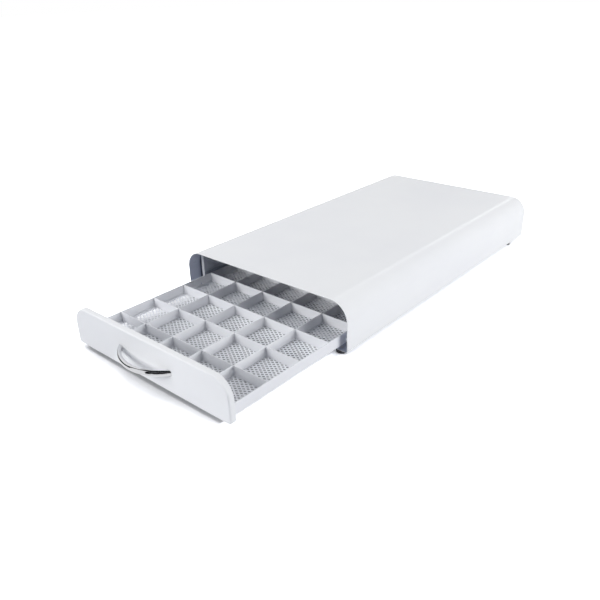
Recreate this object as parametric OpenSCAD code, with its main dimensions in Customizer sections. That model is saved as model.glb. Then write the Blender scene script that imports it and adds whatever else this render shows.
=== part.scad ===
// Coffee pod drawer: a low sheet-steel case with a tray on glides that holds
// pods in square cells over an expanded-metal floor. X is across the case,
// Y runs from the front to the back, Z is up. The origin is on the table,
// under the middle of the drawer as it stands open.

/* [Cells] */
// Clear width and length of one pod cell
cell = 52; // [46:0.5:60]
// Cells across the drawer
columns = 5; // [3:1:7]
// Cells from the front to the back
rows = 9; // [6:1:10]
// Height of the divider strips
cell_depth = 13.5; // [12:0.5:24]
// Thickness of a divider strip
divider_t = 1; // [0.8:0.1:1.6]
// Play of a divider strip in the slot of another
slot_play = 0.1; // [0.05:0.05:0.2]
// Gap between a divider strip's end and the tray wall
divider_end_gap = 0.2; // [0.1:0.05:0.4]

/* [Tray] */
// Thickness of the tray walls
wall_t = 1; // [0.8:0.1:1.6]
// Radius of the rolled bead along the foot of each side wall
bead_r = 0.8; // [0.5:0.1:1.2]
// Thickness of the expanded-metal floor
floor_t = 1; // [0.8:0.1:1.6]
// Plain margin of the floor inside the walls
floor_margin = 4.5; // [3:0.5:8]
// Width of the strands between the diamond openings
strand = 4; // [3:0.5:6]
// Length of one diamond across the drawer, before it is fitted
diamond_long = 35; // [32:1:48]
// Length of one diamond from front to back, before it is fitted
diamond_short = 26.5; // [24:0.5:36]
// Length of a stiffening bar under the floor, from front to back
bar_l = 12; // [8:1:20]
// Thickness of a stiffening bar under the floor
bar_t = 1.2; // [0.8:0.1:1.6]
// Distance of each stiffening bar from the nearer end of the tray
bar_from_end = 193; // [60:1:200]
// Radius of the punched holes in the side walls
punch_r = 1.3; // [1:0.1:2.5]
// Height of the punched holes above the floor
punch_up = 3.2; // [3:0.1:8]

/* [Front panel] */
// Height of the front panel
panel_h = 52.5; // [44:0.5:58]
// Depth of the turned-back edge of the front panel
panel_d = 7.5; // [5:0.5:10]
// Thickness of the front panel's sheet
panel_t = 1; // [0.8:0.1:1.3]
// Radius of the front panel's upper corners
panel_r = 25; // [15:1:30]
// Radius of the front panel's lower corners
panel_low_r = 4.5; // [4.5:0.5:8]
// Radius of the soft bend round the front face
panel_edge_r = 2; // [1.5:0.1:2.2]
// Gap beside the closed front panel
panel_side_gap = 4.2; // [2:0.2:5]
// Gap under the closed front panel
panel_low_gap = 1; // [0.5:0.1:2]
// Gap between the front panel and the tray
panel_gap = 0.4; // [0.2:0.1:1]
// How far the bracket stops short of each side of the tray
bracket_short = 14; // [10:1:30]
// Height of the bracket
bracket_h = 12; // [10:0.5:13]
// Thickness of the bracket's sheet
bracket_t = 1.5; // [1:0.1:2]

/* [Handle] */
// Distance between the two handle screws
handle_span = 85; // [64:1:128]
// How far the bow stands out from the front panel
handle_reach = 22; // [18:0.5:30]
// Thickness of the bow, measured outwards
bow_t = 5; // [4:0.5:7]
// Height of the bow
bow_h = 7.6; // [7:0.2:10]
// Distance from a handle screw to the bow's outer edge at the panel
bow_over = 5.5; // [5:0.1:7]
// Radius of the round boss inside each end of the bow
boss_r = 3.6; // [3.2:0.1:3.7]
// Length of the boss
boss_l = 4; // [3.5:0.1:5]
// Depth of the tapped hole in each end of the bow
tap_depth = 3; // [2:0.1:3.2]
// Radius of a handle screw
screw_r = 2; // [1.5:0.1:2.3]
// Radial play of a handle screw in its holes
screw_play = 0.05; // [0.02:0.01:0.1]
// Radius of a screw head
head_r = 3.9; // [3:0.1:4.5]
// Height of a screw head
head_h = 2.2; // [1.6:0.1:3]
// Thickness of the washer under a handle screw's head
washer_t = 0.8; // [0.5:0.1:1]
// Width of the washer's rim beyond the screw head
washer_rim = 0.8; // [0.4:0.1:1.5]

/* [Case] */
// Thickness of the case's sheet
sheet_t = 1; // [0.8:0.1:1.5]
// Radius of the case's upper corners
case_r = 26; // [15:1:30]
// Radius of the bend along the lower edges of the case
bend_r = 2; // [1.8:0.1:3]
// Width of the edges turned in under the case
flange_w = 18; // [17:0.5:24]
// Radius of the corners of the turned-in edges
flange_r = 3; // [3:0.5:9]
// Clear height over the tray's floor
head_room = 56.6; // [54:0.1:75]
// Gap left between welded sheets
weld_gap = 0.15; // [0.1:0.05:0.25]
// How far the liners and the header stand behind the front edge
setback = 20; // [14:0.5:30]
// Gap between a liner and the case's side
liner_gap = 4; // [3:0.5:8]
// Thickness of the liners
liner_t = 1; // [0.8:0.1:1.5]
// How far the header hangs below the top sheet
header_drop = 11.5; // [6:0.5:12]
// Depth of the header's upper leg
header_leg = 15; // [8:1:30]
// Depth of the back panel's turned edge
back_rim = 5.6; // [4:0.2:12]
// Free length behind the closed tray
back_room = 3; // [1.5:0.5:20]
// Length of a tie bar's width, from front to back
tie_l = 18; // [12:1:30]
// Thickness of a tie bar
tie_t = 1; // [0.8:0.1:1.2]
// Distance of the front tie bar from the front edge
tie_front = 80; // [75:1:120]
// Distance of the rear tie bar from the rear edge
tie_rear = 80; // [70:1:140]

/* [Glides] */
// Height of the glide pads on the turned-in edges
pad_h = 5.9; // [4:0.1:8]
// Width of a glide pad
pad_w = 5; // [3.5:0.5:5.5]
// Distance of a glide pad from the rim of the turned-in edge
pad_inset = 1.8; // [1:0.1:2]
// Length of a glide pad
pad_l = 42; // [20:1:50]
// Distance of a glide pad behind the liner's front
pad_back = 5; // [3:1:12]
// Play between the tray and its glides
glide_play = 0.3; // [0.25:0.05:0.5]
// Thickness of a guide block beside the tray
guide_t = 4; // [3:0.5:6]
// How far a guide block runs past its rivets, front and back
guide_over = 12; // [6:1:20]
// How far a guide block rises above its rivets
guide_rise = 4; // [3.5:0.5:6]
// Gap between a guide block and its liner
guide_play = 0.4; // [0.3:0.05:0.6]
// Height of the hold-down rail's upright leg
rail_h = 5; // [5:0.5:12]
// Thickness of the hold-down rail's sheet
rail_t = 1; // [0.8:0.1:1.5]
// Gap between the tray's side and the parts it passes
pass_gap = 0.7; // [0.5:0.1:1]
// Height of the guide blocks' rivets above the tray's floor
rivet_up = 6; // [6:0.5:8]
// Radius of the rivets that hold the guide blocks
rivet_r = 1.5; // [1:0.1:2]
// Radial play of a rivet in its hole
rivet_play = 0.05; // [0.02:0.01:0.1]
// Radius of a rivet's head
rivet_head_r = 2.8; // [2.2:0.1:3.5]
// Height of a rivet's head
rivet_head_h = 0.8; // [0.5:0.1:1.2]

/* [Feet] */
// Height of the rubber feet
foot_h = 4.5; // [3.5:0.1:10]
// Diameter of a foot where it meets the case
foot_d = 16; // [14:0.5:17]
// How much narrower a foot is at the table
foot_taper = 1; // [0.5:0.1:2]
// Distance of a front foot's centre from the side
foot_in_front = 13.5; // [10:0.5:16]
// Distance of a rear foot's centre from the side
foot_in_rear = 10; // [9:0.5:16]
// Distance of the front feet from the front edge
foot_front = 7; // [7:1:14]
// Distance of the rear feet from the rear edge
foot_rear = 43; // [20:1:60]
// Radius of the recess that hides the rivet's head
recess_r = 4; // [3.2:0.1:5]
// Depth of that recess
recess_d = 2.2; // [1.5:0.1:2.8]

/* [Pose] */
// How far the drawer stands open
drawer_open = 189.5; // [60:0.5:300]

/* [Hidden] */
pitch = cell + divider_t;
tray_in_w = columns * cell + (columns - 1) * divider_t;
tray_in_l = rows * cell + (rows - 1) * divider_t;
tray_w = tray_in_w + 2 * wall_t;
tray_l = tray_in_l + 2 * wall_t;

// Across the case, from the tray outwards.
liner_x = tray_w / 2 + guide_t + guide_play;
liner_out_x = liner_x + liner_t;
pass_x = tray_w / 2 + pass_gap;
case_in_w = 2 * (liner_out_x + liner_gap);
case_w = case_in_w + 2 * sheet_t;

// Upwards, from the table.
case_z = foot_h;
flange_top = case_z + sheet_t;
floor_z = flange_top + pad_h + glide_play;
cell_z = floor_z + floor_t;
tray_top = cell_z + cell_depth;
case_in_top = cell_z + head_room;
case_top = case_in_top + sheet_t;
case_h = case_top - case_z;
guide_z = flange_top + glide_play;
guide_top = cell_z + rivet_up + guide_rise;
rail_z = guide_top + glide_play;

// From the front to the back.
case_l = setback + panel_gap - glide_play + tray_l + back_room + back_rim;
case_front = (drawer_open + handle_reach - case_l) / 2;
case_back = case_front + case_l;
liner_front = case_front + setback;
back_plate = case_back - back_rim;
liner_l = back_plate - weld_gap - liner_front;
face_y = case_front - drawer_open;
panel_back = face_y + panel_d;
tray_front = panel_back + panel_gap;
tray_back = tray_front + tray_l;
grid_y = tray_front + wall_t;
// The guide blocks' rivets stand in the middle of the last two cells.
rear_rivet_y = tray_back - wall_t - cell / 2;
front_rivet_y = rear_rivet_y - pitch;

// The front panel and what is fixed to it.
panel_w = case_in_w - 2 * panel_side_gap;
bracket_w = tray_in_w - 2 * bracket_short;
panel_z = flange_top + panel_low_gap;
handle_z = panel_z + panel_h / 2;
bracket_z = cell_z + (cell_depth - bracket_h) / 2;
bolt_z = bracket_z + bracket_h / 2;
bolt_r = screw_r;

// The bow is part of a ring: half its chord and its height give its radius.
chord_half = handle_span / 2 + bow_over;
bow_r = (pow(chord_half, 2) + pow(handle_reach, 2)) / (2 * handle_reach);
bow_centre_y = face_y - handle_reach + bow_r;

// The smallest round in a folded corner.
least_r = 0.3;
// Cuts run past the faces that they open by this much.
overrun = 1;
// Fineness of the round surfaces.
$fn = 64;

// Stands a flat outline up so that its Y becomes height, and gives it depth
// from y towards the back.
module upright(y, depth) {
    translate([0, y + depth, 0]) rotate([90, 0, 0]) linear_extrude(depth) children();
}

// A block centred on X, from its front lower edge.
module slab(w, y, l, z, h) {
    translate([-w / 2, y, z]) cube([w, l, h]);
}

// An upright outline on Z = z with wide rounds above and small ones below.
module arch(w, z, h, r, low_r) {
    translate([-w / 2, z + low_r]) square([w, h - low_r - r]);
    translate([low_r - w / 2, z]) square([w - 2 * low_r, h - r]);
    translate([r - w / 2, z + low_r]) square([w - 2 * r, h - low_r]);
    for (side = [-1, 1]) {
        translate([side * (w / 2 - low_r), z + low_r]) circle(low_r);
        translate([side * (w / 2 - r), z + h - r]) circle(r);
    }
}

// The room inside the case's sheet, drawn in by a gap.
module case_room(gap) {
    arch(case_in_w - 2 * gap, flange_top + gap, case_in_top - flange_top - 2 * gap,
         case_r - sheet_t - gap, max(bend_r - sheet_t - gap, least_r));
}

// One bent sheet: the top, both sides and the edges turned in under it.
module outer_case() {
    slot_w = case_w - 2 * flange_w;
    color("whitesmoke") difference() {
        upright(case_front, case_l) difference() {
            arch(case_w, case_z, case_h, case_r, bend_r);
            case_room(0);
            translate([-slot_w / 2, case_z - overrun]) square([slot_w, sheet_t + 2 * overrun]);
        }
        for (side = [-1, 1], rear = [0, 1])
            translate([side * slot_w / 2, rear == 0 ? case_front : case_back, case_z - overrun])
                mirror([side < 0 ? 1 : 0, 0, 0]) mirror([0, rear, 0])
                    linear_extrude(sheet_t + 2 * overrun) flange_waste();
        at_feet() cylinder(r = rivet_r + rivet_play, h = 2 * sheet_t + overrun, center = true);
    }
}

// The waste that rounds a turned-in edge's corner, in plan.
module flange_waste() {
    difference() {
        translate([-overrun, -overrun]) square([flange_r + overrun, flange_r + overrun]);
        translate([flange_r, flange_r]) circle(flange_r);
    }
}

// Puts a copy at the top of each foot.
module at_feet() {
    for (side = [-1, 1]) {
        translate([side * (case_w / 2 - foot_in_front), case_front + foot_front, case_z]) children();
        translate([side * (case_w / 2 - foot_in_rear), case_back - foot_rear, case_z]) children();
    }
}

// A shallow pan in the case's rear end, its rim turned outwards.
module back_panel() {
    color("whitesmoke") difference() {
        upright(back_plate, back_rim) case_room(weld_gap);
        upright(back_plate + sheet_t, back_rim) case_room(weld_gap + sheet_t);
    }
}

// A liner is an upright sheet with a lip on the case's turned-in edge and a
// narrow flange at its front, which guides the tray and stops it.
module liner(side) {
    lip = liner_gap + liner_t - weld_gap;
    color("gainsboro") mirror([side < 0 ? 1 : 0, 0, 0]) {
        upright(liner_front, liner_l) intersection() {
            case_room(weld_gap);
            union() {
                translate([liner_x, flange_top]) square([liner_t, case_in_top - flange_top]);
                translate([liner_x, flange_top]) square([lip, weld_gap + liner_t]);
            }
        }
        upright(liner_front, liner_t) intersection() {
            case_room(weld_gap);
            translate([pass_x, flange_top])
                square([liner_out_x - pass_x, case_in_top - flange_top]);
        }
    }
}

// An angle under the top sheet that closes the gap over the front panel.
module front_header() {
    w = 2 * (pass_x - weld_gap);
    leg_w = case_w - 2 * case_r;
    color("gainsboro") {
        upright(liner_front, liner_t) intersection() {
            case_room(weld_gap);
            translate([-w / 2, case_in_top - header_drop]) square([w, header_drop]);
        }
        slab(leg_w, liner_front, header_leg, case_in_top - weld_gap - liner_t, liner_t);
    }
}

// An angle on the liner that keeps the open tray's rear end down.
module hold_down_rail(side) {
    color("gainsboro") mirror([side < 0 ? 1 : 0, 0, 0])
        upright(liner_front + liner_t + weld_gap, liner_l - liner_t - weld_gap) {
            translate([pass_x, rail_z]) square([liner_x - weld_gap - pass_x, rail_t]);
            translate([liner_x - weld_gap - rail_t, rail_z]) square([rail_t, rail_h]);
        }
}

// A flat strip that ties the case's turned-in edges together.
module tie_bar(y) {
    color("silver") slab(tray_in_w, y, tie_l, flange_top, tie_t);
}

// A nylon strip with round ends that the tray's floor slides on.
module glide_pad(side) {
    x = side * (case_w / 2 - flange_w + pad_inset + pad_w / 2);
    r = pad_w / 2;
    y = liner_front + pad_back;
    color("white") translate([x, y, flange_top]) linear_extrude(pad_h) {
        translate([-r, r]) square([pad_w, pad_l - pad_w]);
        translate([0, r]) circle(r);
        translate([0, pad_l - r]) circle(r);
    }
}

// A rubber foot, recessed for the rivet that holds it.
module foot(side, rear) {
    x = side * (case_w / 2 - (rear ? foot_in_rear : foot_in_front));
    y = rear ? case_back - foot_rear : case_front + foot_front;
    color([0.08, 0.08, 0.09]) translate([x, y, 0]) difference() {
        cylinder(d1 = foot_d - foot_taper, d2 = foot_d, h = foot_h);
        translate([0, 0, -overrun]) cylinder(r = recess_r, h = recess_d + overrun);
        cylinder(r = rivet_r + rivet_play, h = foot_h + overrun);
    }
}

// One rivet through each foot, flush with the top of the turned-in edge.
module foot_rivets() {
    stem = foot_h - recess_d + sheet_t;
    color("dimgray") at_feet() translate([0, 0, sheet_t - stem]) {
        cylinder(r = rivet_r, h = stem);
        translate([0, 0, -rivet_head_h]) cylinder(r = rivet_head_r, h = rivet_head_h);
    }
}

// The section through the panel's rim: outwards in X, from the face back in Y.
module rim_section(big, r, depth) {
    square([big - r, depth]);
    translate([0, r]) square([big, depth - r]);
    translate([big - r, r]) circle(r);
}

// A block lying on its face with a soft bend of radius r round the face. Its
// straight runs and its corners are the same section, extruded and turned.
module soft_block(w, h, top_r, low_r, r, depth) {
    side_h = h - top_r - low_r;
    low_w = w - 2 * low_r;
    translate([-low_w / 2, low_r, 0]) cube([low_w, side_h, depth]);
    for (side = [0, 1]) mirror([side, 0, 0]) {
        translate([w / 2 - low_r, h - top_r, 0]) rotate([90, 0, 0])
            linear_extrude(side_h) rim_section(low_r, r, depth);
        translate([w / 2 - top_r, h - top_r, 0])
            rotate_extrude(angle = 90) rim_section(top_r, r, depth);
        translate([w / 2 - low_r, low_r, 0]) rotate([0, 0, -90])
            rotate_extrude(angle = 90) rim_section(low_r, r, depth);
    }
    translate([top_r - w / 2, h - top_r, 0]) rotate([90, 0, 90])
        linear_extrude(w - 2 * top_r) rim_section(top_r, r, depth);
    translate([-low_w / 2, low_r, 0]) mirror([0, 1, 0]) rotate([90, 0, 90])
        linear_extrude(low_w) rim_section(low_r, r, depth);
}

// That block stood up behind the front face and drawn in by a gap.
module soft_panel(gap, r) {
    translate([0, face_y + gap, panel_z + gap]) mirror([0, 1, 0]) rotate([90, 0, 0])
        soft_block(panel_w - 2 * gap, panel_h - 2 * gap, panel_r - gap, panel_low_r - gap, r, panel_d);
}

// A pressed pan: a flat face with its edges turned back all round.
module front_panel() {
    color("whitesmoke") difference() {
        soft_panel(0, panel_edge_r);
        soft_panel(panel_t, panel_edge_r - panel_t);
        for (side = [-1, 1])
            translate([side * handle_span / 2, face_y, handle_z]) rotate([90, 0, 0])
                cylinder(r = screw_r + screw_play, h = 2 * (panel_t + overrun), center = true);
    }
}

// A channel inside the pan that carries the tray.
module panel_bracket() {
    y = face_y + panel_t;
    l = tray_front - y;
    color("silver") difference() {
        slab(bracket_w, y, l, bracket_z, bracket_h);
        slab(bracket_w + 2 * overrun, y + bracket_t, l - 2 * bracket_t,
             bracket_z - overrun, bracket_h - bracket_t + overrun);
        at_bolts() cylinder(r = bolt_r + screw_play, h = 2 * (bracket_t + overrun), center = true);
    }
}

// Puts a copy on the tray's front wall in the middle of the first, a central
// and the last column, with Z turned along Y.
module at_bolts() {
    for (i = [0, floor(columns / 2), columns - 1])
        translate([i * pitch + cell / 2 - tray_in_w / 2, tray_front, bolt_z])
            rotate([-90, 0, 0]) children();
}

// Screws from the front row of cells into the bracket.
module panel_bolts() {
    stem = bracket_t + wall_t;
    color("silver") at_bolts() {
        translate([0, 0, -bracket_t]) cylinder(r = bolt_r, h = stem);
        translate([0, 0, wall_t]) cylinder(r = head_r, h = head_h);
    }
}

// The upright section of the bow: a flat-sided oval, at a radius.
module bow_section(radius) {
    flat = bow_h - bow_t;
    translate([radius, 0]) {
        square([bow_t, flat], center = true);
        for (up = [-1, 1]) translate([0, up * flat / 2]) circle(bow_t / 2);
    }
}

// A chromed bow, thickened inside each end and tapped there for its screw.
module handle() {
    color("silver") difference() {
        union() {
            intersection() {
                translate([0, bow_centre_y, handle_z]) rotate_extrude() bow_section(bow_r - bow_t / 2);
                slab(2 * bow_r, face_y - handle_reach - overrun, handle_reach + overrun,
                     handle_z - bow_h, 2 * bow_h);
            }
            intersection() {
                at_handle_ends() cylinder(r = boss_r, h = boss_l);
                translate([0, bow_centre_y, handle_z])
                    cylinder(r = bow_r - bow_t / 2, h = 2 * bow_h, center = true, $fn = 128);
            }
        }
        at_handle_ends() translate([0, 0, -overrun])
            cylinder(r = screw_r + screw_play, h = tap_depth + overrun);
    }
}

// Puts a copy on the front face at each handle screw, Z turned outwards.
module at_handle_ends() {
    for (side = [-1, 1])
        translate([side * handle_span / 2, face_y, handle_z]) rotate([90, 0, 0]) children();
}

// A screw from inside the pan into the bow.
module handle_screw(side) {
    reach = tap_depth - screw_play;
    seat = panel_t + washer_t;
    color("silver") translate([side * handle_span / 2, face_y, handle_z]) rotate([90, 0, 0]) {
        translate([0, 0, -seat]) cylinder(r = screw_r, h = seat + reach);
        translate([0, 0, -seat - head_h]) cylinder(r = head_r, h = head_h);
    }
}

module handle_washers() {
    color("silver") for (side = [-1, 1])
        translate([side * handle_span / 2, face_y + panel_t, handle_z]) rotate([-90, 0, 0])
            difference() {
                cylinder(r = head_r + washer_rim, h = washer_t);
                translate([0, 0, -overrun]) cylinder(r = screw_r + screw_play, h = washer_t + 2 * overrun);
            }
}

// A side wall with a bead rolled inwards along its foot.
module tray_side_wall(side) {
    wall_x = tray_in_w / 2;
    color("whitesmoke") mirror([side < 0 ? 1 : 0, 0, 0]) difference() {
        union() {
            translate([wall_x, tray_front, cell_z]) cube([wall_t, tray_l, cell_depth]);
            upright(grid_y, tray_in_l) intersection() {
                translate([wall_x, cell_z + bead_r]) circle(bead_r);
                translate([wall_x - bead_r, cell_z]) square([bead_r + wall_t / 2, 2 * bead_r]);
            }
        }
        for (y = [tray_front + bar_from_end, tray_back - bar_from_end])
            translate([wall_x + wall_t / 2, y, cell_z + punch_up]) rotate([0, 90, 0])
                cylinder(r = punch_r, h = wall_t + 2 * overrun, center = true);
        at_guide_rivets() cylinder(r = rivet_r + rivet_play, h = 2 * (wall_t + overrun), center = true);
    }
}

// Puts a copy at each rivet of the right guide block, on the wall's outer
// face, with Z turned inwards.
module at_guide_rivets() {
    for (y = [front_rivet_y, rear_rivet_y])
        translate([tray_w / 2, y, cell_z + rivet_up]) rotate([0, -90, 0]) children();
}

// The short walls stand between the side walls.
module tray_front_wall() {
    color("whitesmoke") difference() {
        slab(tray_in_w, tray_front, wall_t, cell_z, cell_depth);
        at_bolts() cylinder(r = bolt_r + screw_play, h = 2 * (wall_t + overrun), center = true);
    }
}

module tray_rear_wall() {
    color("whitesmoke") slab(tray_in_w, tray_back - wall_t, wall_t, cell_z, cell_depth);
}

// The floor is a sheet with a plain margin and diamond openings inside it.
module mesh_floor() {
    open_w = tray_in_w - 2 * floor_margin;
    open_l = tray_in_l - 2 * floor_margin;
    across = floor(open_w / diamond_long);
    along = floor(open_l / diamond_short);
    step_x = open_w / across;
    step_y = open_l / along;
    // A diamond is drawn in so that the strand between two keeps its width.
    shrink = strand / (2 * sin(atan2(step_y, step_x)));
    half_x = step_x / 2 - shrink;
    half_y = half_x * step_y / step_x;
    color("lightgray") translate([0, 0, floor_z]) linear_extrude(floor_t) difference() {
        translate([-tray_w / 2, tray_front]) square([tray_w, tray_l]);
        translate([-open_w / 2, grid_y + floor_margin]) intersection() {
            square([open_w, open_l]);
            for (i = [0 : 2 * across], j = [0 : 2 * along])
                if ((i + j) % 2 == 1) translate([i * step_x / 2, j * step_y / 2])
                    polygon([[-half_x, 0], [0, -half_y], [half_x, 0], [0, half_y]]);
        }
    }
}

// A flat strip under the floor, between the glide pads.
module floor_bar(y) {
    w = case_w - 2 * (flange_w - pad_inset + pass_gap);
    color("silver") slab(w, y - bar_l / 2, bar_l, floor_z - bar_t, bar_t);
}

// A nylon block beside the tray's rear end, drilled for its rivets.
module guide_block(side) {
    color("white") mirror([side < 0 ? 1 : 0, 0, 0]) difference() {
        translate([tray_w / 2, front_rivet_y - guide_over, guide_z])
            cube([guide_t, pitch + 2 * guide_over, guide_top - guide_z]);
        at_guide_rivets() translate([0, 0, -guide_t / 2])
            cylinder(r = rivet_r + rivet_play, h = guide_t / 2 + overrun);
    }
}

module guide_rivets() {
    color("silver") for (side = [0, 1]) mirror([side, 0, 0]) at_guide_rivets() {
        translate([0, 0, rivet_play - guide_t / 2]) cylinder(r = rivet_r, h = guide_t / 2 - rivet_play + wall_t);
        translate([0, 0, wall_t]) cylinder(r = rivet_head_r, h = rivet_head_h);
    }
}

// Strips halve into each other: long ones are slotted from above, cross ones
// from below.
module length_divider(i) {
    x = i * pitch - divider_t - tray_in_w / 2;
    slot = divider_t + 2 * slot_play;
    half = cell_depth / 2;
    color("gainsboro") difference() {
        translate([x, grid_y + divider_end_gap, cell_z])
            cube([divider_t, tray_in_l - 2 * divider_end_gap, cell_depth]);
        for (j = [1 : rows - 1])
            translate([x - overrun, grid_y + j * pitch - divider_t - slot_play, cell_z + half - slot_play])
                cube([divider_t + 2 * overrun, slot, half + slot_play + overrun]);
    }
}

module cross_divider(j) {
    y = grid_y + j * pitch - divider_t;
    slot = divider_t + 2 * slot_play;
    half = cell_depth / 2;
    end_gap = divider_end_gap + bead_r;
    color("gainsboro") difference() {
        translate([divider_end_gap - tray_in_w / 2, y, cell_z])
            cube([tray_in_w - 2 * divider_end_gap, divider_t, cell_depth]);
        for (i = [1 : columns - 1])
            translate([i * pitch - divider_t - slot_play - tray_in_w / 2, y - overrun, cell_z - overrun])
                cube([slot, divider_t + 2 * overrun, half + overrun]);
        for (side = [-1, 1])
            translate([side * tray_in_w / 2, y + divider_t / 2, cell_z])
                cube([2 * end_gap, divider_t + 2 * overrun, 4 * bead_r + 2 * slot_play], center = true);
    }
}

outer_case();
back_panel();
liner(-1);  // left_liner
liner(1);  // right_liner
front_header();
hold_down_rail(-1);  // left_hold_down_rail
hold_down_rail(1);  // right_hold_down_rail
tie_bar(case_front + tie_front);  // front_tie_bar
tie_bar(case_back - tie_rear);  // rear_tie_bar
glide_pad(-1);  // left_glide_pad
glide_pad(1);  // right_glide_pad
foot(-1, false);  // front_left_foot
foot(1, false);  // front_right_foot
foot(-1, true);  // rear_left_foot
foot(1, true);  // rear_right_foot
foot_rivets();
front_panel();
panel_bracket();
panel_bolts();
handle();
handle_screw(-1);  // left_handle_screw
handle_screw(1);  // right_handle_screw
handle_washers();
tray_side_wall(-1);  // tray_left_wall
tray_side_wall(1);  // tray_right_wall
tray_front_wall();
tray_rear_wall();
mesh_floor();
floor_bar(tray_front + bar_from_end);  // front_floor_bar
floor_bar(tray_back - bar_from_end);  // rear_floor_bar
guide_block(-1);  // left_guide_block
guide_block(1);  // right_guide_block
guide_rivets();
for (i = [1 : columns - 1])
    length_divider(i);
for (j = [1 : rows - 1])
    cross_divider(j);
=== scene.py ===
import math

import bpy
from mathutils import Matrix, Quaternion, Vector


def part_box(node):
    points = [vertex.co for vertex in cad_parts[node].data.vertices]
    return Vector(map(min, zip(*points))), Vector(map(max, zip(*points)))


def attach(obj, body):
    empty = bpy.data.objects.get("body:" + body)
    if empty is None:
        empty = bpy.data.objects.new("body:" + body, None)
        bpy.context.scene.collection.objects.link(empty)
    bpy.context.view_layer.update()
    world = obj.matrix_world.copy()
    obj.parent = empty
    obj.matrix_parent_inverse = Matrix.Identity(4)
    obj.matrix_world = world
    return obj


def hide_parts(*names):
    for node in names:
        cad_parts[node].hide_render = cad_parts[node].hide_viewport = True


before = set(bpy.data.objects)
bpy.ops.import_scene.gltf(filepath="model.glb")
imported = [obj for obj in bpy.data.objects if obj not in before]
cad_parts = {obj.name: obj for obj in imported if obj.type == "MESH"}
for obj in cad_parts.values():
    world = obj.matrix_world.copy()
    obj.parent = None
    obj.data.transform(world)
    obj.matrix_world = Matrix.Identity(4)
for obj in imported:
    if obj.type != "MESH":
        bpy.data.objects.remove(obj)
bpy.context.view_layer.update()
MM = 0.001


# The case is one sheet of 1 mm steel, bent over both sides and turned in at
# the bottom, with a pan welded into its rear end. All of it has a white
# powder coat: hard, satin, and very slightly pebbled where the powder flowed.
def linear(hex_colour):
    """An sRGB colour such as "e8e9ea" as the linear RGBA that nodes take."""
    channels = [int(hex_colour[i:i + 2], 16) / 255 for i in (0, 2, 4)]
    return [c / 12.92 if c <= 0.04045 else ((c + 0.055) / 1.055) ** 2.4 for c in channels] + [1.0]


def add(tree, kind, inputs=None, **settings):
    """Adds a node. An input's value is a socket to link from or a plain value."""
    made = tree.nodes.new(kind)
    for name, value in settings.items():
        setattr(made, name, value)
    for name, value in (inputs or {}).items():
        if isinstance(value, bpy.types.NodeSocket):
            tree.links.new(value, made.inputs[name])
        else:
            made.inputs[name].default_value = value
    return made


def start_material(name):
    """A material, its node tree and the object coordinates in metres."""
    material = bpy.data.materials.new(name)
    material.use_nodes = True
    tree = material.node_tree
    tree.nodes.clear()
    return material, tree, add(tree, "ShaderNodeTexCoord").outputs["Object"]


def paint_nodes(material, *names):
    for name in names:
        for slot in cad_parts[name].material_slots:
            slot.material = material


def how_deep(tree, where, front, back):
    """Grows from 0 at one distance along the case to 1 at another."""
    along = add(tree, "ShaderNodeSeparateXYZ", {"Vector": where}).outputs["Y"]
    depth = add(tree, "ShaderNodeMapRange", {"Value": along, "From Min": front, "From Max": back})
    return depth.outputs["Result"]


def facing_inwards(tree, where):
    """1 on faces that look at the line along the middle of the case, 0 elsewhere."""
    middle = Vector((0.0, 0.0, 37 * MM))
    across_and_up = (1.0, 0.0, 1.0)
    level = add(tree, "ShaderNodeVectorMath", {0: where, 1: middle}, operation="SUBTRACT")
    outward = add(tree, "ShaderNodeVectorMath", {
        0: level.outputs["Vector"], 1: across_and_up}, operation="MULTIPLY")
    normal = add(tree, "ShaderNodeNewGeometry").outputs["True Normal"]
    facing = add(tree, "ShaderNodeVectorMath", {
        0: outward.outputs["Vector"], 1: normal}, operation="DOT_PRODUCT")
    inwards = add(tree, "ShaderNodeMath", {0: facing.outputs["Value"], 1: -1 * MM}, operation="LESS_THAN")
    return inwards.outputs[0]


def powder_coat(name, light, dark, roughness, painted_shade=None):
    """Powder coat: patches of a hardly different shade, over a pebbled skin."""
    material, tree, where = start_material(name)
    # The patches are about 110 mm across.
    cloud = add(tree, "ShaderNodeTexNoise", {"Vector": where, "Scale": 9.0, "Detail": 3.0})
    shade = add(tree, "ShaderNodeValToRGB", {"Fac": cloud.outputs["Fac"]})
    shade.color_ramp.elements[0].color = linear(dark)
    shade.color_ramp.elements[0].position = 0.35
    shade.color_ramp.elements[1].color = linear(light)
    shade.color_ramp.elements[1].position = 0.65
    # The optional function paints shade into the coat's colour.
    colour = painted_shade(tree, where, shade.outputs["Color"]) if painted_shade else shade.outputs["Color"]
    # The pebbles of a satin coat are about 0.7 mm across and 0.01 mm high.
    pebble = add(tree, "ShaderNodeTexNoise", {"Vector": where, "Scale": 1400.0, "Detail": 2.0})
    skin = add(tree, "ShaderNodeBump", {
        "Height": pebble.outputs["Fac"], "Distance": 0.02 * MM, "Strength": 0.5})
    shader = add(tree, "ShaderNodeBsdfPrincipled", {
        "Base Color": colour, "Roughness": roughness, "IOR": 1.5, "Normal": skin.outputs["Normal"]})
    add(tree, "ShaderNodeOutputMaterial", {"Surface": shader.outputs["BSDF"]})
    return material


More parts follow.
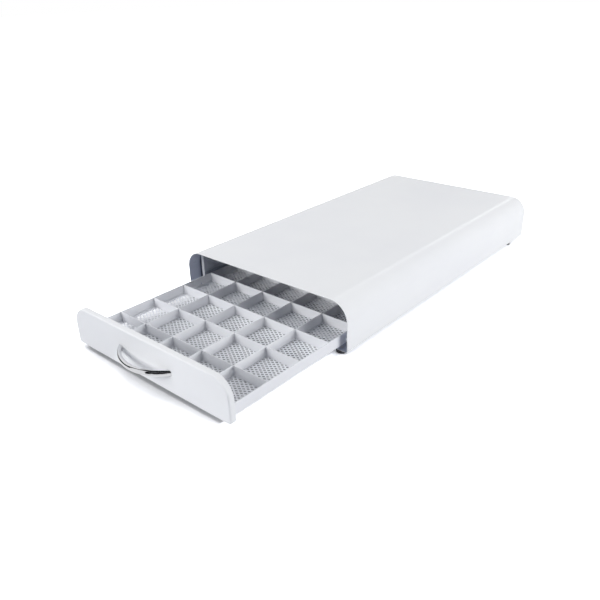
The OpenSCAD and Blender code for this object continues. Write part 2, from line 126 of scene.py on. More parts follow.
def paint_case_shade(tree, where, colour):
    """Painted shade: faces inside the case get a greyer colour, and the gaps beside the liners a dark
    blue-grey.
    """
    inwards = facing_inwards(tree, where)
    liner_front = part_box("left_liner")[0].y
    in_gap = how_deep(tree, where, liner_front - 1 * MM, liner_front + 1 * MM)
    in_shaded_gap = add(tree, "ShaderNodeMath", {0: inwards, 1: in_gap}, operation="MULTIPLY").outputs[0]
    # Painted shade: c6ccdc on the case's inner faces, 7b8198 in the gaps beside the liners.
    painted_shade = add(tree, "ShaderNodeMixRGB", {"Fac": inwards, "Color1": colour, "Color2": linear("c6ccdc")})
    deepest_painted_shade = add(tree, "ShaderNodeMixRGB", {
        "Fac": in_shaded_gap, "Color1": painted_shade.outputs["Color"], "Color2": linear("7b8198")})
    return deepest_painted_shade.outputs["Color"]


white_coat = powder_coat("white_powder_coat", "edeeee", "eaebec", roughness=0.38)
# Inside, the case's coat has painted shade.
case_coat = powder_coat("case_powder_coat", "edeeee", "eaebec", roughness=0.28, painted_shade=paint_case_shade)
paint_nodes(case_coat, "outer_case")
paint_nodes(white_coat, "back_panel")


# The liners, the header and the hold-down rails are plain bent sheets welded
# inside the case. They have the same coat, with painted shade behind the
# liners' flanges, where its colour turns greyer.
def paint_flange_shade(tree, where, colour):
    liner_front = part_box("left_liner")[0].y
    behind = how_deep(tree, where, liner_front + 0.8 * MM, liner_front + 1.6 * MM)
    # Painted shade: the colour turns to cdd1da behind the flanges.
    painted_shade = add(tree, "ShaderNodeMixRGB", {"Fac": behind, "Color1": colour, "Color2": linear("cdd1da")})
    return painted_shade.outputs["Color"]


inner_coat = powder_coat("inner_powder_coat", "eeeff2", "ebecef", roughness=0.45, painted_shade=paint_flange_shade)
paint_nodes(inner_coat, "left_liner", "right_liner", "front_header",
            "left_hold_down_rail", "right_hold_down_rail")


# The tie bars, the bracket and the bars under the floor are strips of
# zinc-plated steel: pale blue-grey, with a faint grain.
def zinc_plate(name):
    material, tree, where = start_material(name)
    # The plating's crystals show as patches of 2 mm or so.
    crystals = add(tree, "ShaderNodeTexVoronoi", {"Vector": where, "Scale": 450.0})
    shade = add(tree, "ShaderNodeValToRGB", {"Fac": crystals.outputs["Color"]})
    shade.color_ramp.elements[0].color = linear("b4b8bc")
    shade.color_ramp.elements[1].color = linear("c9ccce")
    dull = add(tree, "ShaderNodeMapRange", {
        "Value": crystals.outputs["Distance"], "To Min": 0.32, "To Max": 0.48})
    shader = add(tree, "ShaderNodeBsdfPrincipled", {
        "Base Color": shade.outputs["Color"], "Metallic": 1.0, "Roughness": dull.outputs["Result"]})
    add(tree, "ShaderNodeOutputMaterial", {"Surface": shader.outputs["BSDF"]})
    return material


zinc = zinc_plate("zinc_plated_steel")
paint_nodes(zinc, "front_tie_bar", "rear_tie_bar", "panel_bracket", "front_floor_bar", "rear_floor_bar")


# The glide pads and guide blocks are cut from natural nylon strip: milky,
# waxy to the touch and a little see-through at their edges.
def natural_nylon(name):
    material, tree, where = start_material(name)
    # Milky patches are about 6 mm across, and the scuffs on them 0.02 mm deep.
    cloud = add(tree, "ShaderNodeTexNoise", {"Vector": where, "Scale": 160.0, "Detail": 4.0})
    shade = add(tree, "ShaderNodeValToRGB", {"Fac": cloud.outputs["Fac"]})
    shade.color_ramp.elements[0].color = linear("dcdad2")
    shade.color_ramp.elements[1].color = linear("e8e6de")
    scuff = add(tree, "ShaderNodeBump", {
        "Height": cloud.outputs["Fac"], "Distance": 0.05 * MM, "Strength": 0.4})
    shader = add(tree, "ShaderNodeBsdfPrincipled", {
        "Base Color": shade.outputs["Color"], "Roughness": 0.5, "IOR": 1.53,
        "Subsurface Weight": 0.15, "Subsurface Scale": 2 * MM, "Normal": scuff.outputs["Normal"]})
    add(tree, "ShaderNodeOutputMaterial", {"Surface": shader.outputs["BSDF"]})
    return material


nylon = natural_nylon("natural_nylon")
paint_nodes(nylon, "left_glide_pad", "right_glide_pad", "left_guide_block", "right_guide_block")


# The feet are moulded black rubber, matt, with dust-grey high spots, and a
# recess under each one hides the rivet that holds it.
def black_rubber(name):
    material, tree, where = start_material(name)
    # The mould's grain is drawn about 1 mm across, coarser than it is, to show.
    grain = add(tree, "ShaderNodeTexNoise", {"Vector": where, "Scale": 900.0, "Detail": 5.0})
    shade = add(tree, "ShaderNodeValToRGB", {"Fac": grain.outputs["Fac"]})
    shade.color_ramp.elements[0].color = linear("232327")
    shade.color_ramp.elements[1].color = linear("35353a")
    skin = add(tree, "ShaderNodeBump", {
        "Height": grain.outputs["Fac"], "Distance": 0.08 * MM, "Strength": 0.6})
    shader = add(tree, "ShaderNodeBsdfPrincipled", {
        "Base Color": shade.outputs["Color"], "Roughness": 0.72, "IOR": 1.52,
        "Normal": skin.outputs["Normal"]})
    add(tree, "ShaderNodeOutputMaterial", {"Surface": shader.outputs["BSDF"]})
    return material


rubber = black_rubber("black_rubber")
foot_names = ("front_left_foot", "front_right_foot", "rear_left_foot", "rear_right_foot")
paint_nodes(rubber, *foot_names)


# Rivets and screws: a turned head on a plain stem. The heads are domed, and
# the screws have a cross recess for the screwdriver.
def headed_fastener_tree():
    """Puts a headed fastener on each point, with its head along the point's "turn"."""
    tree = bpy.data.node_groups.new("headed_fastener", "GeometryNodeTree")
    face = tree.interface
    face.new_socket("Geometry", in_out="INPUT", socket_type="NodeSocketGeometry")
    for name in ("Head radius", "Head height", "Stem radius", "Stem length", "Recess width", "Recess span"):
        face.new_socket(name, in_out="INPUT", socket_type="NodeSocketFloat")
    face.new_socket("Material", in_out="INPUT", socket_type="NodeSocketMaterial")
    face.new_socket("Geometry", in_out="OUTPUT", socket_type="NodeSocketGeometry")
    given = add(tree, "NodeGroupInput").outputs

    # A ball becomes a dome: its upper half rises steeply at the rim.
    ball = add(tree, "GeometryNodeMeshUVSphere", {"Segments": 32, "Rings": 20, "Radius": 1.0})
    position = add(tree, "GeometryNodeInputPosition")
    at = add(tree, "ShaderNodeSeparateXYZ", {"Vector": position.outputs[0]}).outputs
    above = add(tree, "ShaderNodeMath", {0: at["Z"], 1: 0.0}, operation="MAXIMUM")
    crown = add(tree, "ShaderNodeMath", {0: above.outputs[0], 1: 0.55}, operation="POWER")
    x = add(tree, "ShaderNodeMath", {0: at["X"], 1: given["Head radius"]}, operation="MULTIPLY")
    y = add(tree, "ShaderNodeMath", {0: at["Y"], 1: given["Head radius"]}, operation="MULTIPLY")
    z = add(tree, "ShaderNodeMath", {0: crown.outputs[0], 1: given["Head height"]}, operation="MULTIPLY")
    place = add(tree, "ShaderNodeCombineXYZ", {"X": x.outputs[0], "Y": y.outputs[0], "Z": z.outputs[0]})
    dome = add(tree, "GeometryNodeSetPosition", {
        "Geometry": ball.outputs["Mesh"], "Position": place.outputs[0]})

    # Two crossed bars, sunk to half the head's height, cut the recess.
    long_bar = add(tree, "ShaderNodeCombineXYZ", {
        "X": given["Recess span"], "Y": given["Recess width"], "Z": given["Head height"]})
    bar = add(tree, "GeometryNodeMeshCube", {"Size": long_bar.outputs[0]})
    lift = add(tree, "ShaderNodeCombineXYZ", {"Z": given["Head height"]})
    across = add(tree, "GeometryNodeTransform", {
        "Geometry": bar.outputs["Mesh"], "Translation": lift.outputs[0]})
    along = add(tree, "GeometryNodeTransform", {
        "Geometry": across.outputs[0], "Rotation": (0.0, 0.0, math.pi / 2)})
    recessed = dome.outputs[0]
    for cutter in (across, along):
        cut = add(tree, "GeometryNodeMeshBoolean", operation="DIFFERENCE", solver="EXACT")
        tree.links.new(recessed, cut.inputs["Mesh 1"])
        tree.links.new(cutter.outputs[0], cut.inputs["Mesh 2"])
        recessed = cut.outputs["Mesh"]
    has_recess = add(tree, "ShaderNodeMath", {0: given["Recess width"], 1: 0.0}, operation="GREATER_THAN")
    head = add(tree, "GeometryNodeSwitch", {
        "Switch": has_recess.outputs[0], "False": dome.outputs[0], "True": recessed},
        input_type="GEOMETRY")

    stem = add(tree, "GeometryNodeMeshCylinder", {
        "Vertices": 24, "Radius": given["Stem radius"], "Depth": given["Stem length"]})
    half = add(tree, "ShaderNodeMath", {0: given["Stem length"], 1: -0.5}, operation="MULTIPLY")
    drop = add(tree, "ShaderNodeCombineXYZ", {"Z": half.outputs[0]})
    sunk = add(tree, "GeometryNodeTransform", {
        "Geometry": stem.outputs["Mesh"], "Translation": drop.outputs[0]})
    whole = add(tree, "GeometryNodeJoinGeometry")
    tree.links.new(head.outputs[0], whole.inputs[0])
    tree.links.new(sunk.outputs[0], whole.inputs[0])

    turn = add(tree, "GeometryNodeInputNamedAttribute", {"Name": "turn"}, data_type="FLOAT_VECTOR")
    copies = add(tree, "GeometryNodeInstanceOnPoints", {
        "Points": given["Geometry"], "Instance": whole.outputs[0], "Rotation": turn.outputs["Attribute"]})
    real = add(tree, "GeometryNodeRealizeInstances", {"Geometry": copies.outputs[0]})
    metal = add(tree, "GeometryNodeSetMaterial", {
        "Geometry": real.outputs[0], "Material": given["Material"]})
    add(tree, "NodeGroupOutput", {"Geometry": metal.outputs[0]})
    return tree


def grow(name, source, tree, values):
    """Runs a tree on a mesh and returns the result as a plain object."""
    seed = bpy.data.objects.new(name + "_seed", source)
    bpy.context.scene.collection.objects.link(seed)
    modifier = seed.modifiers.new("grow", "NODES")
    modifier.node_group = tree
    for item in tree.interface.items_tree:
        if item.in_out == "INPUT" and item.name in values:
            modifier[item.identifier] = values[item.name]
    mesh = bpy.data.meshes.new_from_object(seed.evaluated_get(bpy.context.evaluated_depsgraph_get()))
    seed.modifiers.clear()
    bpy.data.objects.remove(seed)
    mesh.name = name
    mesh.shade_smooth()
    mesh.set_sharp_from_angle(angle=math.radians(35))
    piece = bpy.data.objects.new(name, mesh)
    bpy.context.scene.collection.objects.link(piece)
    return piece


fastener_tree = headed_fastener_tree()


def fasteners(name, places, body, node, sizes, material):
    """Each place is a point, where the head sits, and the head's turn from upright."""
    points = bpy.data.meshes.new(name + "_points")
    points.from_pydata([p for p, _ in places], [], [])
    turns = points.attributes.new("turn", "FLOAT_VECTOR", "POINT")
    for i, (_, turn) in enumerate(places):
        turns.data[i].vector = turn
    piece = grow(name, points, fastener_tree, {**sizes, "Material": material})
    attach(piece, body)
    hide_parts(node)


def bare_aluminium(name):
    """Rolled aluminium: pale, fairly bright, with small scratches all ways."""
    material, tree, where = start_material(name)
    # The scratches show as specks of about 0.5 mm.
    scratch = add(tree, "ShaderNodeTexNoise", {"Vector": where, "Scale": 2200.0, "Detail": 3.0})
    shade = add(tree, "ShaderNodeValToRGB", {"Fac": scratch.outputs["Fac"]})
    shade.color_ramp.elements[0].color = linear("c6c8ca")
    shade.color_ramp.elements[1].color = linear("dadbdc")
    dull = add(tree, "ShaderNodeMapRange", {"Value": scratch.outputs["Fac"], "To Min": 0.25, "To Max": 0.42})
    shader = add(tree, "ShaderNodeBsdfPrincipled", {
        "Base Color": shade.outputs["Color"], "Metallic": 1.0, "Roughness": dull.outputs["Result"]})
    add(tree, "ShaderNodeOutputMaterial", {"Surface": shader.outputs["BSDF"]})
    return material


aluminium = bare_aluminium("rolled_aluminium")
rivet = {"Head radius": 2.8 * MM, "Head height": 0.8 * MM, "Stem radius": 1.5 * MM,
         "Recess width": 0.0, "Recess span": 1 * MM}
rivet_low, rivet_high = (corner.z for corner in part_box("foot_rivets"))
upside_down = (math.pi, 0.0, 0.0)
foot_rivet_places = []
for foot_name in foot_names:
    low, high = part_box(foot_name)
    seat = ((low.x + high.x) / 2, (low.y + high.y) / 2, rivet_low + rivet["Head height"])
    foot_rivet_places.append((seat, upside_down))
fasteners("foot_rivet_heads", foot_rivet_places, "case", "foot_rivets",
          {**rivet, "Stem length": rivet_high - rivet_low - rivet["Head height"]}, aluminium)

# The front panel is a pressed pan of 1 mm sheet with its edges turned back,
# and has the same white coat as the case's pan.
paint_nodes(white_coat, "front_panel")


# The bow handle is die-cast zinc, polished and chromed, so it shows the room
# as bright and dark bands. Two screws and washers hold it from inside.
def chrome_plate(name):
    material, tree, where = start_material(name)
    # Polishing leaves ripples about 17 mm long and 0.01 mm high.
    ripple = add(tree, "ShaderNodeTexNoise", {"Vector": where, "Scale": 60.0, "Detail": 1.0})
    skin = add(tree, "ShaderNodeBump", {
        "Height": ripple.outputs["Fac"], "Distance": 0.03 * MM, "Strength": 0.3})
    haze = add(tree, "ShaderNodeMapRange", {"Value": ripple.outputs["Fac"], "To Min": 0.03, "To Max": 0.08})
    shader = add(tree, "ShaderNodeBsdfPrincipled", {
        "Base Color": linear("d6d7da"), "Metallic": 1.0, "Roughness": haze.outputs["Result"],
        "Normal": skin.outputs["Normal"]})
    add(tree, "ShaderNodeOutputMaterial", {"Surface": shader.outputs["BSDF"]})
    return material


chrome = chrome_plate("polished_chrome")
paint_nodes(chrome, "handle")

screw_steel = zinc_plate("zinc_plated_screws")
screw = {"Stem radius": 2 * MM, "Recess width": 1.1 * MM, "Recess span": 4.6 * MM}
head_to_rear = (-math.pi / 2, 0.0, 0.0)
washer_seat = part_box("handle_washers")[1].y
for side in ("left", "right"):
    low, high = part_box(side + "_handle_screw")
    seat = ((low.x + high.x) / 2, washer_seat, (low.z + high.z) / 2)
    fasteners(side + "_handle_screw_head", [(seat, head_to_rear)],
              "drawer", side + "_handle_screw",
              {**screw, "Head radius": (high.x - low.x) / 2, "Head height": high.y - washer_seat,
               "Stem length": washer_seat - low.y}, screw_steel)
paint_nodes(screw_steel, "handle_washers")

# Three screws go through the tray's front wall into the panel's bracket.
low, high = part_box("panel_bolts")
wall_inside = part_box("tray_front_wall")[1].y
bolt_head_r = 3.9 * MM
bolt_x = high.x - bolt_head_r
bolt_z = (low.z + high.z) / 2
fasteners("panel_screws", [((x, wall_inside, bolt_z), head_to_rear) for x in (-bolt_x, 0.0, bolt_x)],
          "drawer", "panel_bolts",
          {**screw, "Head radius": bolt_head_r, "Head height": high.y - wall_inside,
           "Stem length": wall_inside - low.y}, screw_steel)

# The tray is four strips of coated sheet round the cells, and the dividers
# are thinner-looking strips that halve into each other.
tray_coat = powder_coat("tray_powder_coat", "ebecee", "e8e9ec", roughness=0.4)
paint_nodes(tray_coat, "tray_left_wall", "tray_right_wall", "tray_front_wall", "tray_rear_wall")
divider_coat = powder_coat("divider_powder_coat", "e9eaec", "e5e6e9", roughness=0.42)
paint_nodes(divider_coat, *[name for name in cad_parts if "_divider_" in name])

# Two aluminium rivets a side hold the nylon guide blocks to the tray. Their
# domed heads are inside the tray, in the middle of its last two side cells.
low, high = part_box("guide_rivets")
tray_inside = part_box("tray_rear_wall")[1].x
guide_rivet_z = (low.z + high.z) / 2
guide_rivet_places = []
for side in (-1, 1):
    head_inwards = (0.0, -side * math.pi / 2, 0.0)
    for y in (low.y + rivet["Head radius"], high.y - rivet["Head radius"]):
        guide_rivet_places.append(((side * tray_inside, y, guide_rivet_z), head_inwards))
fasteners("guide_rivet_heads", guide_rivet_places, "drawer", "guide_rivets",
          {**rivet, "Stem length": high.x - tray_inside}, aluminium)


# The floor is expanded metal: a sheet slit in rows and pulled open into
# diamonds about 8 mm by 5 mm, whose strands stand a little on edge, with a
# plain border left round it. It is coated like the tray.
def expanded_metal_tree():
    """Puts crossed strands on every knot of a staggered grid."""
    tree = bpy.data.node_groups.new("expanded_metal", "GeometryNodeTree")
    face = tree.interface
    face.new_socket("Geometry", in_out="INPUT", socket_type="NodeSocketGeometry")
    for name in ("Width", "Length", "Strand width", "Strand thickness", "Strand tilt"):
        face.new_socket(name, in_out="INPUT", socket_type="NodeSocketFloat")
    for name in ("Diamonds across", "Diamonds along"):
        face.new_socket(name, in_out="INPUT", socket_type="NodeSocketInt")
    face.new_socket("Middle", in_out="INPUT", socket_type="NodeSocketVector")
    face.new_socket("Material", in_out="INPUT", socket_type="NodeSocketMaterial")
    face.new_socket("Geometry", in_out="OUTPUT", socket_type="NodeSocketGeometry")
    given = add(tree, "NodeGroupInput").outputs

    step_x = add(tree, "ShaderNodeMath", {
        0: given["Width"], 1: given["Diamonds across"]}, operation="DIVIDE")
    step_y = add(tree, "ShaderNodeMath", {
        0: given["Length"], 1: given["Diamonds along"]}, operation="DIVIDE")
    more_x = add(tree, "ShaderNodeMath", {0: given["Diamonds across"], 1: 1.0}, operation="ADD")
    more_y = add(tree, "ShaderNodeMath", {0: given["Diamonds along"], 1: 1.0}, operation="ADD")
    less_w = add(tree, "ShaderNodeMath", {0: given["Width"], 1: step_x.outputs[0]}, operation="SUBTRACT")
    less_l = add(tree, "ShaderNodeMath", {0: given["Length"], 1: step_y.outputs[0]}, operation="SUBTRACT")
    corners = add(tree, "GeometryNodeMeshGrid", {
        "Size X": given["Width"], "Size Y": given["Length"],
        "Vertices X": more_x.outputs[0], "Vertices Y": more_y.outputs[0]})
    centres = add(tree, "GeometryNodeMeshGrid", {
        "Size X": less_w.outputs[0], "Size Y": less_l.outputs[0],
        "Vertices X": given["Diamonds across"], "Vertices Y": given["Diamonds along"]})
    knots = add(tree, "GeometryNodeJoinGeometry")
    tree.links.new(corners.outputs["Mesh"], knots.inputs[0])
    tree.links.new(centres.outputs["Mesh"], knots.inputs[0])

    # A strand runs half a diamond across and half a diamond along.
    half_x = add(tree, "ShaderNodeMath", {0: step_x.outputs[0], 1: 0.5}, operation="MULTIPLY")
    half_y = add(tree, "ShaderNodeMath", {0: step_y.outputs[0], 1: 0.5}, operation="MULTIPLY")
    run = add(tree, "ShaderNodeCombineXYZ", {"X": half_x.outputs[0], "Y": half_y.outputs[0]})
    length = add(tree, "ShaderNodeVectorMath", {0: run.outputs[0]}, operation="LENGTH")
    slope = add(tree, "ShaderNodeMath", {0: half_y.outputs[0], 1: half_x.outputs[0]}, operation="ARCTAN2")
    other = add(tree, "ShaderNodeMath", {0: slope.outputs[0], 1: -1.0}, operation="MULTIPLY")
    size = add(tree, "ShaderNodeCombineXYZ", {
        "X": length.outputs["Value"], "Y": given["Strand width"], "Z": given["Strand thickness"]})
    strand = add(tree, "GeometryNodeMeshCube", {"Size": size.outputs[0]})
    cross = add(tree, "GeometryNodeJoinGeometry")
    for angle in (slope, other):
        turn = add(tree, "ShaderNodeCombineXYZ", {"X": given["Strand tilt"], "Z": angle.outputs[0]})
        turned = add(tree, "GeometryNodeTransform", {
            "Geometry": strand.outputs["Mesh"], "Rotation": turn.outputs[0]})
        tree.links.new(turned.outputs[0], cross.inputs[0])
    copies = add(tree, "GeometryNodeInstanceOnPoints", {
        "Points": knots.outputs[0], "Instance": cross.outputs[0]})
    placed = add(tree, "GeometryNodeTransform", {
        "Geometry": copies.outputs[0], "Translation": given["Middle"]})
    all_of_it = add(tree, "GeometryNodeJoinGeometry")
    tree.links.new(given["Geometry"], all_of_it.inputs[0])
    tree.links.new(placed.outputs[0], all_of_it.inputs[0])
    real = add(tree, "GeometryNodeRealizeInstances", {"Geometry": all_of_it.outputs[0]})
    coat = add(tree, "GeometryNodeSetMaterial", {
        "Geometry": real.outputs[0], "Material": given["Material"]})
    add(tree, "NodeGroupOutput", {"Geometry": coat.outputs[0]})
    return tree


def flat_border(name, low, high, margin):
    """A rectangular ring of sheet between two corners."""
    rings = []
    for inset in (0.0, margin):
        for z in (low.z, high.z):
            rings.append([(low.x + inset, low.y + inset, z), (high.x - inset, low.y + inset, z),
                          (high.x - inset, high.y - inset, z), (low.x + inset, high.y - inset, z)])
    points = [p for ring in rings for p in ring]
    # Points 0 to 3 are outside and low, 4 to 7 outside and high, 8 to 11
    # inside and low, and 12 to 15 inside and high.
    faces = []
    for i in range(4):
        j = (i + 1) % 4
        faces += [(i, j, 4 + j, 4 + i), (4 + i, 4 + j, 12 + j, 12 + i),
                  (12 + i, 12 + j, 8 + j, 8 + i), (8 + i, 8 + j, j, i)]
    mesh = bpy.data.meshes.new(name)
    mesh.from_pydata(points, [], faces)
    mesh.validate()
    return mesh


mesh_coat = powder_coat("mesh_powder_coat", "f4f5f8", "eff1f4", roughness=0.4)
low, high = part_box("mesh_floor")
floor_margin = 5.5 * MM
diamond_across, diamond_along = 8.2 * MM, 5.2 * MM
open_width = high.x - low.x - 2 * floor_margin
open_length = high.y - low.y - 2 * floor_margin
border = flat_border("floor_border", low, high, floor_margin)
expanded = grow("expanded_metal_floor", border, expanded_metal_tree(), {
    "Width": open_width, "Length": open_length,
    "Strand width": 1.6 * MM, "Strand thickness": 0.5 * MM, "Strand tilt": math.radians(14),
    "Diamonds across": round(open_width / diamond_across),
    "Diamonds along": round(open_length / diamond_along),
    "Middle": (low + high) / 2, "Material": mesh_coat})
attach(expanded, "drawer")
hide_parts("mesh_floor")


# The camera stands where the photograph was taken from. Its place, turn and
# lens were worked out from the cells' corners and the case's edges.
def photo_camera():
    azimuth, elevation, roll = (math.radians(a) for a in (41.29869, 26.36010, -1.53945))
    place = (0.537202, -0.680281, 0.405722)
    focal_pixels, photo_pixels = 635.236, 600
    back = Vector((math.sin(azimuth) * math.cos(elevation), -math.cos(azimuth) * math.cos(elevation),
                   math.sin(elevation)))
    right = (-back).cross(Vector((0, 0, 1))).normalized()
    up = right.cross(-back)
    across = math.cos(roll) * right + math.sin(roll) * up
    upward = -math.sin(roll) * right + math.cos(roll) * up
    data = bpy.data.cameras.new("camera")
    data.sensor_width = 36.0
    data.lens = data.sensor_width * focal_pixels / photo_pixels
    data.clip_start = 0.01
    data.clip_end = 50.0
    camera = bpy.data.objects.new("camera", data)
    turn = Matrix((across, upward, back)).transposed().to_4x4()
    camera.matrix_world = Matrix.Translation(place) @ turn
    bpy.context.scene.collection.objects.link(camera)
    bpy.context.scene.camera = camera


photo_camera()


# The object stands on a white table in a white room. To the camera the room
# is plain white, and the table keeps a soft shadow.
def white_room(strength):
    world = bpy.data.worlds.new("white_room")
    world.use_nodes = True
    tree = world.node_tree
    tree.nodes.clear()
    path = add(tree, "ShaderNodeLightPath").outputs
    direct = add(tree, "ShaderNodeMath", {
        0: path["Is Camera Ray"], 1: path["Is Transmission Ray"]}, operation="MAXIMUM")
    seen = add(tree, "ShaderNodeMath", {
        0: direct.outputs[0], 1: path["Is Glossy Ray"]}, operation="MAXIMUM")
    lit = add(tree, "ShaderNodeBackground", {"Color": linear("cfd8f2"), "Strength": strength})
    shown = add(tree, "ShaderNodeBackground", {"Color": linear("ffffff"), "Strength": 1.0})
    either = add(tree, "ShaderNodeMixShader", {
        "Fac": seen.outputs[0], 1: lit.outputs[0], 2: shown.outputs[0]})
    add(tree, "ShaderNodeOutputWorld", {"Surface": either.outputs[0]})
    bpy.context.scene.world = world


def stage_piece(name, points, faces, material):
    mesh = bpy.data.meshes.new(name)
    mesh.from_pydata(points, [], faces)
    mesh.materials.append(material)
    piece = bpy.data.objects.new(name, mesh)
    bpy.context.scene.collection.objects.link(piece)
    return piece


def white_table():
    material, tree, where = start_material("white_table")
    cloud = add(tree, "ShaderNodeTexNoise", {"Vector": where, "Scale": 3.0})
    shade = add(tree, "ShaderNodeValToRGB", {"Fac": cloud.outputs["Fac"]})
    shade.color_ramp.elements[0].color = linear("c7c9d1")
    shade.color_ramp.elements[1].color = linear("cbcdd4")
    # To the camera the table is whiter than white, so that it is plain white
    # wherever the lamps reach it, and where they fall off it glows.
    whiter = 2.6
    lamps_fall_off, lamps_end = 0.6, 1.1
    far = add(tree, "ShaderNodeVectorMath", {0: where}, operation="LENGTH")
    past_lamps = add(tree, "ShaderNodeMapRange", {
        "Value": far.outputs["Value"], "From Min": lamps_fall_off, "From Max": lamps_end})
    glow = add(tree, "ShaderNodeEmission", {"Color": linear("ffffff"), "Strength": past_lamps.outputs[0]})
    over_white = add(tree, "ShaderNodeBsdfDiffuse", {"Color": (whiter, whiter, whiter, 1.0)})
    # Between the tray's long walls its colour is painted dark where the drawer or
    # the case covers it, as the holes in the mesh show: a painted shadow from
    # ambient occlusion, darkest near the case and under it.
    mostly_covered, mostly_open = 0.35, 0.9
    open_above = add(tree, "ShaderNodeAmbientOcclusion", {"Distance": 100 * MM}, samples=24).outputs["AO"]
    at = add(tree, "ShaderNodeSeparateXYZ", {"Vector": where}).outputs
    case_low, case_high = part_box("outer_case")
    # The painted shadow is darkest close to the case's front.
    darkest = add(tree, "ShaderNodeMapRange", {
        "Value": at["Y"], "From Min": case_low.y - 30 * MM, "From Max": case_low.y - 130 * MM,
        "To Min": 0.04, "To Max": 0.42})
    whiteness = add(tree, "ShaderNodeMapRange", {
        "Value": open_above, "From Min": mostly_covered, "From Max": mostly_open,
        "To Min": darkest.outputs["Result"], "To Max": whiter})
    covered = add(tree, "ShaderNodeBsdfDiffuse", {"Color": whiteness.outputs["Result"]})
    # The right wall's foot is in sight, so the painted shadow stops short of it.
    # It goes on past the left wall, where the mesh's holes look.
    inside_right = add(tree, "ShaderNodeMapRange", {
        "Value": at["X"], "From Min": 124 * MM, "From Max": 118 * MM})
    inside_left = add(tree, "ShaderNodeMapRange", {
        "Value": at["X"], "From Min": -165 * MM, "From Max": -140 * MM})
    between_walls = add(tree, "ShaderNodeMath", {
        0: inside_right.outputs[0], 1: inside_left.outputs[0]}, operation="MULTIPLY")
    near = add(tree, "ShaderNodeMixShader", {
        "Fac": between_walls.outputs[0], 1: over_white.outputs[0], 2: covered.outputs[0]})
    shown = add(tree, "ShaderNodeAddShader", {0: near.outputs[0], 1: glow.outputs[0]})
    # Reflections see it plain white too, but the part that the case hides is black to them, a painted shade.
    case_middle, half_case = (case_low.y + case_high.y) / 2, (case_high.y - case_low.y) / 2
    along = add(tree, "ShaderNodeMath", {0: at["Y"], 1: case_middle}, operation="SUBTRACT")
    end = add(tree, "ShaderNodeMath", {0: along.outputs[0]}, operation="ABSOLUTE")
    past_end = add(tree, "ShaderNodeMapRange", {
        "Value": end.outputs[0], "From Min": half_case - 20 * MM, "From Max": half_case - 5 * MM})
    past_side = add(tree, "ShaderNodeMath", {0: 1.0, 1: between_walls.outputs[0]}, operation="SUBTRACT")
    in_open = add(tree, "ShaderNodeMath", {
        0: past_end.outputs[0], 1: past_side.outputs[0]}, operation="MAXIMUM")
    mirrored = add(tree, "ShaderNodeEmission", {"Color": linear("ffffff"), "Strength": in_open.outputs[0]})
    plain = add(tree, "ShaderNodeBsdfDiffuse", {"Color": shade.outputs["Color"]})
    path = add(tree, "ShaderNodeLightPath").outputs
    either = add(tree, "ShaderNodeMixShader", {
        "Fac": path["Is Glossy Ray"], 1: plain.outputs[0], 2: mirrored.outputs[0]})
    mixed = add(tree, "ShaderNodeMixShader", {
        "Fac": path["Is Camera Ray"], 1: either.outputs[0], 2: shown.outputs[0]})
    add(tree, "ShaderNodeOutputMaterial", {"Surface": mixed.outputs[0]})
    reach = 12.0
    stage_piece("table", [(-reach, -reach, 0), (reach, -reach, 0), (reach, reach, 0), (-reach, reach, 0)],
                [(0, 1, 2, 3)], material)


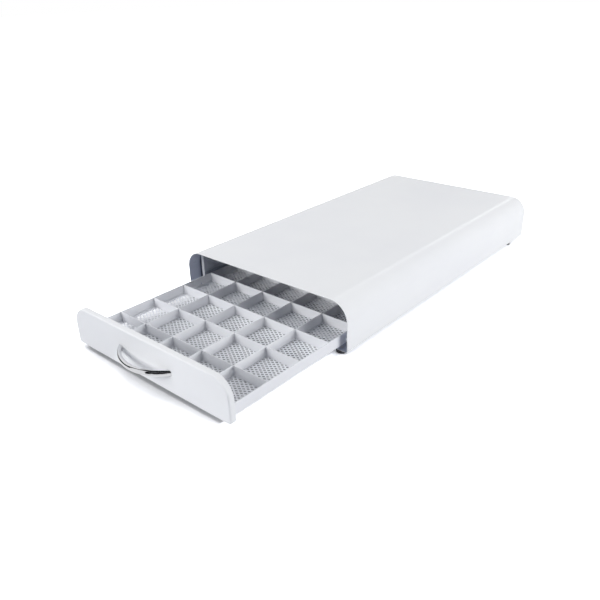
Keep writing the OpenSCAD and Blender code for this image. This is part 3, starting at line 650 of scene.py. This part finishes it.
# Black cards lie and hang round the table, where only reflections see them.
# They give the chromed bow its dark line and the dark patch at its right end.
def black_cards():
    material, tree, where = start_material("black_card")
    grain = add(tree, "ShaderNodeTexNoise", {"Vector": where, "Scale": 40.0})
    shade = add(tree, "ShaderNodeValToRGB", {"Fac": grain.outputs["Fac"]})
    shade.color_ramp.elements[0].color = linear("0c0c10")
    shade.color_ramp.elements[1].color = linear("16161c")
    flat = add(tree, "ShaderNodeBsdfDiffuse", {"Color": shade.outputs["Color"]})
    add(tree, "ShaderNodeOutputMaterial", {"Surface": flat.outputs["BSDF"]})

    def lying(outline, z):
        return [(x, y, z) for x, y in outline]

    def hanging(a, b, low, high):
        return [(*a, low), (*b, low), (*b, high), (*a, high)]

    on_table = 0.5 * MM
    ceiling = 2.6
    front_y, right_x = -1.6, 1.6
    bow_x, bow_y, disc_r = 0.0, -0.35, 1.75
    cards = [
        lying([(-0.045, -0.400), (-0.066, -0.378), (-0.081, -0.346), (-0.085, -0.320), (-0.12, -0.318),
               (-0.21, -0.356), (-0.34, -0.43), (-1.3, -0.8), (-0.62, -1.25)], on_table),
        hanging((-1.5, 0.1), (-1.3, -0.8), 0.0, 0.3),
        hanging((-1.3, -0.8), (-0.75, -1.2), 0.0, 0.25),
        [(x, front_y, z) for x, z in (
            (-1.5, 0.0), (-1.05, 0.05), (-0.91, 0.33), (-0.81, 0.48), (-0.72, 0.69), (-0.6, 0.82),
            (-0.11, 0.9), (-0.11, 2.1), (-0.9, 2.1), (-1.1, 1.65), (-1.25, 1.2), (-1.4, 0.7))],
        lying([(0.014, -0.4055), (0.035, -0.4035), (0.057, -0.3955), (0.077, -0.384), (0.3, -0.33),
               (right_x, -0.5), (right_x, front_y), (-0.1, front_y)], on_table),
        # Between the next two a slit stays bright.
        hanging((-0.1, front_y), (right_x, front_y), 0.0, 0.62),
        hanging((-0.1, front_y), (right_x, front_y), 0.7, ceiling),
        hanging((right_x, front_y), (right_x, -0.5), 0.0, ceiling),
        lying([(bow_x + disc_r * math.cos(math.radians(a)), bow_y + disc_r * math.sin(math.radians(a)))
               for a in range(0, 360, 15)], ceiling),
    ]
    for i, outline in enumerate(cards):
        card = stage_piece(f"black_card_{i + 1}", outline, [tuple(range(len(outline)))], material)
        card.visible_camera = False
        card.visible_diffuse = False
        card.visible_shadow = False
        card.visible_transmission = False


# Four soft boxes light it: overhead, in front on the left, on the right, and
# behind on the left for the back. A narrow fifth, the only one that
# reflections show, draws a bright line along the case's right edge.
def soft_box(name, place, target, size, power, lean=0.0, mirrored=False):
    """A lamp of a width and a height, which leans to its own right by some degrees."""
    data = bpy.data.lights.new(name, "AREA")
    data.shape = "RECTANGLE"
    data.size, data.size_y = size
    data.energy = power
    lamp = bpy.data.objects.new(name, data)
    lamp.location = place
    upright = (Vector(target) - Vector(place)).to_track_quat("-Z", "Y")
    lamp.rotation_euler = (upright @ Quaternion((0.0, 0.0, 1.0), math.radians(-lean))).to_euler()
    lamp.visible_glossy = mirrored
    bpy.context.scene.collection.objects.link(lamp)


white_room(strength=0.15)
white_table()
black_cards()
soft_box("overhead", (-0.2, -0.1, 1.8), (0, -0.1, 0), (1.5, 1.5), power=13.4)
soft_box("front_left", (-0.8, -2.0, 1.0), (0, -0.1, 0.05), (1.9, 1.0), power=39)
soft_box("right", (1.9, 0.5, 0.45), (0, 0.1, 0.05), (1.4, 0.7), power=28)
soft_box("rear_left", (-1.2, 2.0, 0.4), (0, 0.1, 0.05), (1.6, 0.7), power=15)
soft_box("rear_strip", (-0.66, 2.0, 1.3), (0.1, 0.1, 0.07), (0.12, 1.35), power=2.2, lean=36, mirrored=True)
bpy.context.scene.view_settings.view_transform = "Standard"
